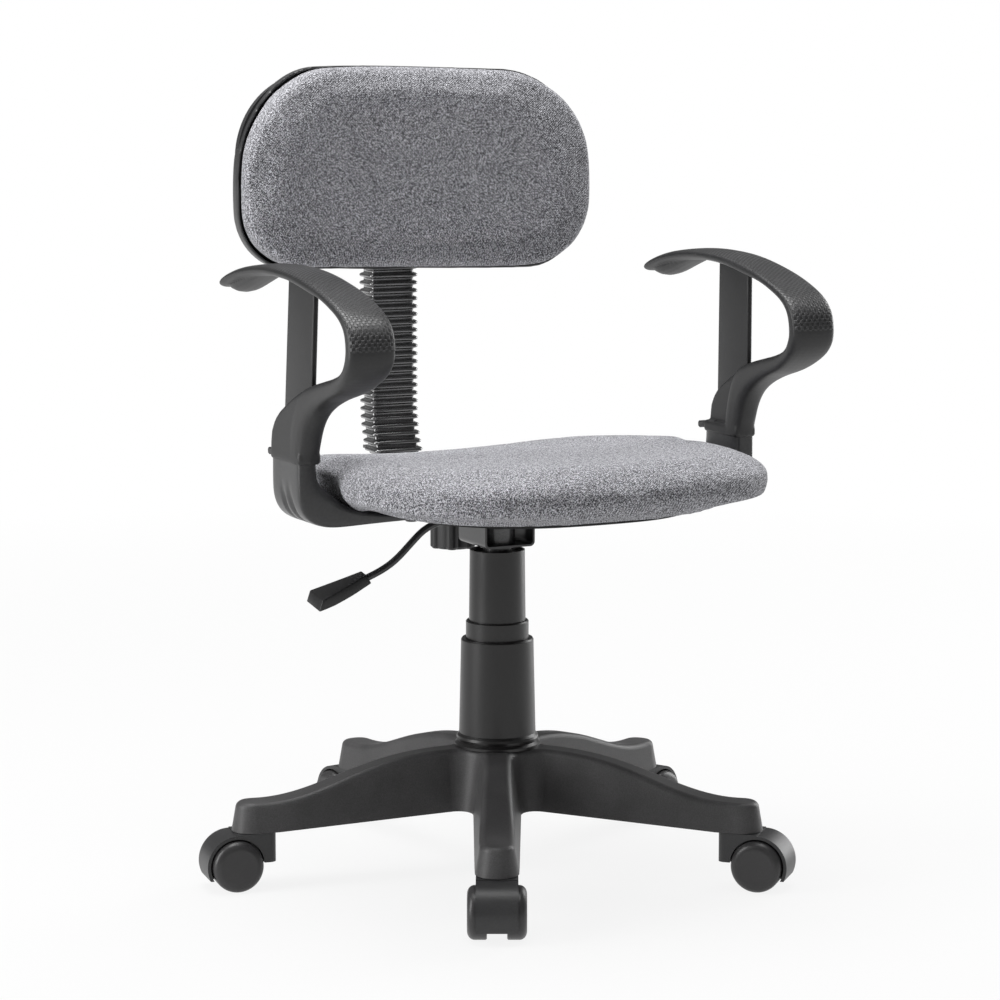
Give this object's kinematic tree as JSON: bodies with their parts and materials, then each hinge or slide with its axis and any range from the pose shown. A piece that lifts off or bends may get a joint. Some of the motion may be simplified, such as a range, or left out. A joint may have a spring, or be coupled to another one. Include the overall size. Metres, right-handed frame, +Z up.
{
  "type": "task chair",
  "caption": "Height-adjustable swivel task chair: tweed seat and low backrest, loop armrests, bellows-covered back bar, gas lift, star base on twin-wheel casters.",
  "frame": {"origin": "on the floor, on the axis of the column", "axes": "+Z up; the sitter faces -Y; +X is the sitter's left"},
  "size_m": [0.5721, 0.5852, 0.787],
  "materials": {
    "tweed": "woven grey and black tweed",
    "black_nylon": "fine moulded grain",
    "wheel_nylon": "satin",
    "cover_plastic": "satin",
    "arm_plastic": "satin with a fine grained pad",
    "knob_plastic": "satin",
    "bush_plastic": "natural",
    "bellows_rubber": "gloss",
    "buffer_rubber": "matt",
    "black_steel": "satin black powder coat",
    "black_screw": "black oxide",
    "bright_steel": "ground",
    "plywood": "raw veneer, sealed in the cover"
  },
  "bodies": {
    "base": {"base_star": "black_nylon", "column_tube": "black_steel", "guide_bush": "bush_plastic", "cover_lower": "cover_plastic"},
    "caster_1": {"caster_1_hood": "black_nylon", "caster_1_stem": "bright_steel", "caster_1_axle": "bright_steel"},
    "caster_2": {"caster_2_hood": "black_nylon", "caster_2_stem": "bright_steel", "caster_2_axle": "bright_steel"},
    "caster_3": {"caster_3_hood": "black_nylon", "caster_3_stem": "bright_steel", "caster_3_axle": "bright_steel"},
    "caster_4": {"caster_4_hood": "black_nylon", "caster_4_stem": "bright_steel", "caster_4_axle": "bright_steel"},
    "caster_5": {"caster_5_hood": "black_nylon", "caster_5_stem": "bright_steel", "caster_5_axle": "bright_steel"},
    "caster_1_wheel_left": {"caster_1_wheel_left": "wheel_nylon"},
    "caster_1_wheel_right": {"caster_1_wheel_right": "wheel_nylon"},
    "caster_2_wheel_left": {"caster_2_wheel_left": "wheel_nylon"},
    "caster_2_wheel_right": {"caster_2_wheel_right": "wheel_nylon"},
    "caster_3_wheel_left": {"caster_3_wheel_left": "wheel_nylon"},
    "caster_3_wheel_right": {"caster_3_wheel_right": "wheel_nylon"},
    "caster_4_wheel_left": {"caster_4_wheel_left": "wheel_nylon"},
    "caster_4_wheel_right": {"caster_4_wheel_right": "wheel_nylon"},
    "caster_5_wheel_left": {"caster_5_wheel_left": "wheel_nylon"},
    "caster_5_wheel_right": {"caster_5_wheel_right": "wheel_nylon"},
    "lift_rod": {"piston_rod": "bright_steel", "thrust_bearing": "bright_steel", "rod_clip": "bright_steel", "rod_buffer": "buffer_rubber"},
    "cover_middle": {"cover_middle": "cover_plastic"},
    "seat": {"gas_cylinder": "black_steel", "cover_upper": "cover_plastic", "seat_mechanism": "black_steel", "taper_sleeve": "bright_steel", "seat_bolts": "black_screw", "seat_board": "plywood", "seat_cushion": "tweed", "arm_bracket_left": "black_steel", "arm_bracket_right": "black_steel", "arm_bolts": "black_screw"},
    "release_button": {"release_button": "bright_steel"},
    "lever": {"lever_rod": "black_steel", "lever_handle": "knob_plastic"},
    "depth_knob": {"depth_knob": "knob_plastic"},
    "back_slide": {"back_bar": "black_steel", "bellows": "bellows_rubber"},
    "backrest": {"back_bracket": "black_nylon", "back_shell": "black_nylon", "back_panel": "plywood", "back_cushion": "tweed", "back_screws": "black_screw"},
    "height_knob": {"height_knob": "knob_plastic"},
    "arm_left": {"arm_loop_left": "arm_plastic"},
    "arm_right": {"arm_loop_right": "arm_plastic"},
    "latch_left": {"arm_latch_left": "arm_plastic"},
    "latch_right": {"arm_latch_right": "arm_plastic"}
  },
  "joints": [
    {"name": "caster_1_swivel", "type": "hinge", "parent": "base", "child": "caster_1", "pos_m": [-0.11119, -0.22302, 0.0557], "axis": [0, 0, 1], "continuous": true},
    {"name": "caster_2_swivel", "type": "hinge", "parent": "base", "child": "caster_2", "pos_m": [0.17774, -0.17467, 0.0557], "axis": [0, 0, 1], "continuous": true},
    {"name": "caster_3_swivel", "type": "hinge", "parent": "base", "child": "caster_3", "pos_m": [0.22104, 0.11507, 0.0557], "axis": [0, 0, 1], "continuous": true},
    {"name": "caster_4_swivel", "type": "hinge", "parent": "base", "child": "caster_4", "pos_m": [-0.04113, 0.24578, 0.0557], "axis": [0, 0, 1], "continuous": true},
    {"name": "caster_5_swivel", "type": "hinge", "parent": "base", "child": "caster_5", "pos_m": [-0.24646, 0.03683, 0.0557], "axis": [0, 0, 1], "continuous": true},
    {"name": "caster_1_roll_left", "type": "hinge", "parent": "caster_1", "child": "caster_1_wheel_left", "pos_m": [-0.11994, -0.24056, 0.025], "axis": [0.8949, -0.4462, 0], "continuous": true},
    {"name": "caster_1_roll_right", "type": "hinge", "parent": "caster_1", "child": "caster_1_wheel_right", "pos_m": [-0.11994, -0.24056, 0.025], "axis": [0.8949, -0.4462, 0], "continuous": true},
    {"name": "caster_2_roll_left", "type": "hinge", "parent": "caster_2", "child": "caster_2_wheel_left", "pos_m": [0.19172, -0.1884, 0.025], "axis": [0.7009, 0.7133, 0], "continuous": true},
    {"name": "caster_2_roll_right", "type": "hinge", "parent": "caster_2", "child": "caster_2_wheel_right", "pos_m": [0.19172, -0.1884, 0.025], "axis": [0.7009, 0.7133, 0], "continuous": true},
    {"name": "caster_3_roll_left", "type": "hinge", "parent": "caster_3", "child": "caster_3_wheel_left", "pos_m": [0.23843, 0.12412, 0.025], "axis": [-0.4617, 0.887, 0], "continuous": true},
    {"name": "caster_3_roll_right", "type": "hinge", "parent": "caster_3", "child": "caster_3_wheel_right", "pos_m": [0.23843, 0.12412, 0.025], "axis": [-0.4617, 0.887, 0], "continuous": true},
    {"name": "caster_4_roll_left", "type": "hinge", "parent": "caster_4", "child": "caster_4_wheel_left", "pos_m": [-0.04437, 0.26511, 0.025], "axis": [-0.9863, -0.165, 0], "continuous": true},
    {"name": "caster_4_roll_right", "type": "hinge", "parent": "caster_4", "child": "caster_4_wheel_right", "pos_m": [-0.04437, 0.26511, 0.025], "axis": [-0.9863, -0.165, 0], "continuous": true},
    {"name": "caster_5_roll_left", "type": "hinge", "parent": "caster_5", "child": "caster_5_wheel_left", "pos_m": [-0.26585, 0.03973, 0.025], "axis": [-0.1478, -0.989, 0], "continuous": true},
    {"name": "caster_5_roll_right", "type": "hinge", "parent": "caster_5", "child": "caster_5_wheel_right", "pos_m": [-0.26585, 0.03973, 0.025], "axis": [-0.1478, -0.989, 0], "continuous": true},
    {"name": "seat_swivel", "type": "hinge", "parent": "base", "child": "lift_rod", "pos_m": [0, 0, 0.068], "axis": [0, 0, 1], "continuous": true},
    {"name": "seat_lift", "type": "slide", "parent": "lift_rod", "child": "seat", "axis": [0, 0, 1], "range_m": [-0.05, 0.05]},
    {"name": "cover_follow", "type": "slide", "parent": "base", "child": "cover_middle", "axis": [0, 0, 1], "range_m": [-0.025, 0.025]},
    {"name": "lever_pivot", "type": "hinge", "parent": "seat", "child": "lever", "pos_m": [-0.02, 0, 0.3521], "axis": [0, 1, 0], "range_deg": [0, 7]},
    {"name": "button_press", "type": "slide", "parent": "seat", "child": "release_button", "axis": [0, 0, -1], "range_m": [0, 0.003]},
    {"name": "depth_clamp", "type": "hinge", "parent": "seat", "child": "depth_knob", "pos_m": [0, 0.099, 0.307], "axis": [0, 0, 1], "range_deg": [-180, 180]},
    {"name": "back_depth", "type": "slide", "parent": "seat", "child": "back_slide", "axis": [0, 1, 0], "range_m": [-0.02, 0.03]},
    {"name": "back_height", "type": "slide", "parent": "back_slide", "child": "backrest", "axis": [0, 0, 1], "range_m": [-0.03, 0.035], "deforming": ["bellows"]},
    {"name": "height_clamp", "type": "hinge", "parent": "backrest", "child": "height_knob", "pos_m": [0, 0.2683, 0.645], "axis": [0, 1, 0], "range_deg": [-180, 180]},
    {"name": "arm_height_left", "type": "slide", "parent": "seat", "child": "arm_left", "axis": [0, 0, 1], "range_m": [0, 0.05]},
    {"name": "arm_height_right", "type": "slide", "parent": "seat", "child": "arm_right", "axis": [0, 0, 1], "range_m": [0, 0.05]},
    {"name": "arm_latch_press_left", "type": "slide", "parent": "arm_left", "child": "latch_left", "axis": [0, -1, 0], "range_m": [0, 0.003], "stiffness_N_per_m": 600, "springref_m": -0.001},
    {"name": "arm_latch_press_right", "type": "slide", "parent": "arm_right", "child": "latch_right", "axis": [0, -1, 0], "range_m": [0, 0.003], "stiffness_N_per_m": 600, "springref_m": -0.001}
  ],
  "couplings": [
    {"joint": "cover_follow", "follows": "seat_lift", "ratio": 0.5},
    {"joint": "button_press", "follows": "lever_pivot", "m_per_rad": 0.02}
  ]
}
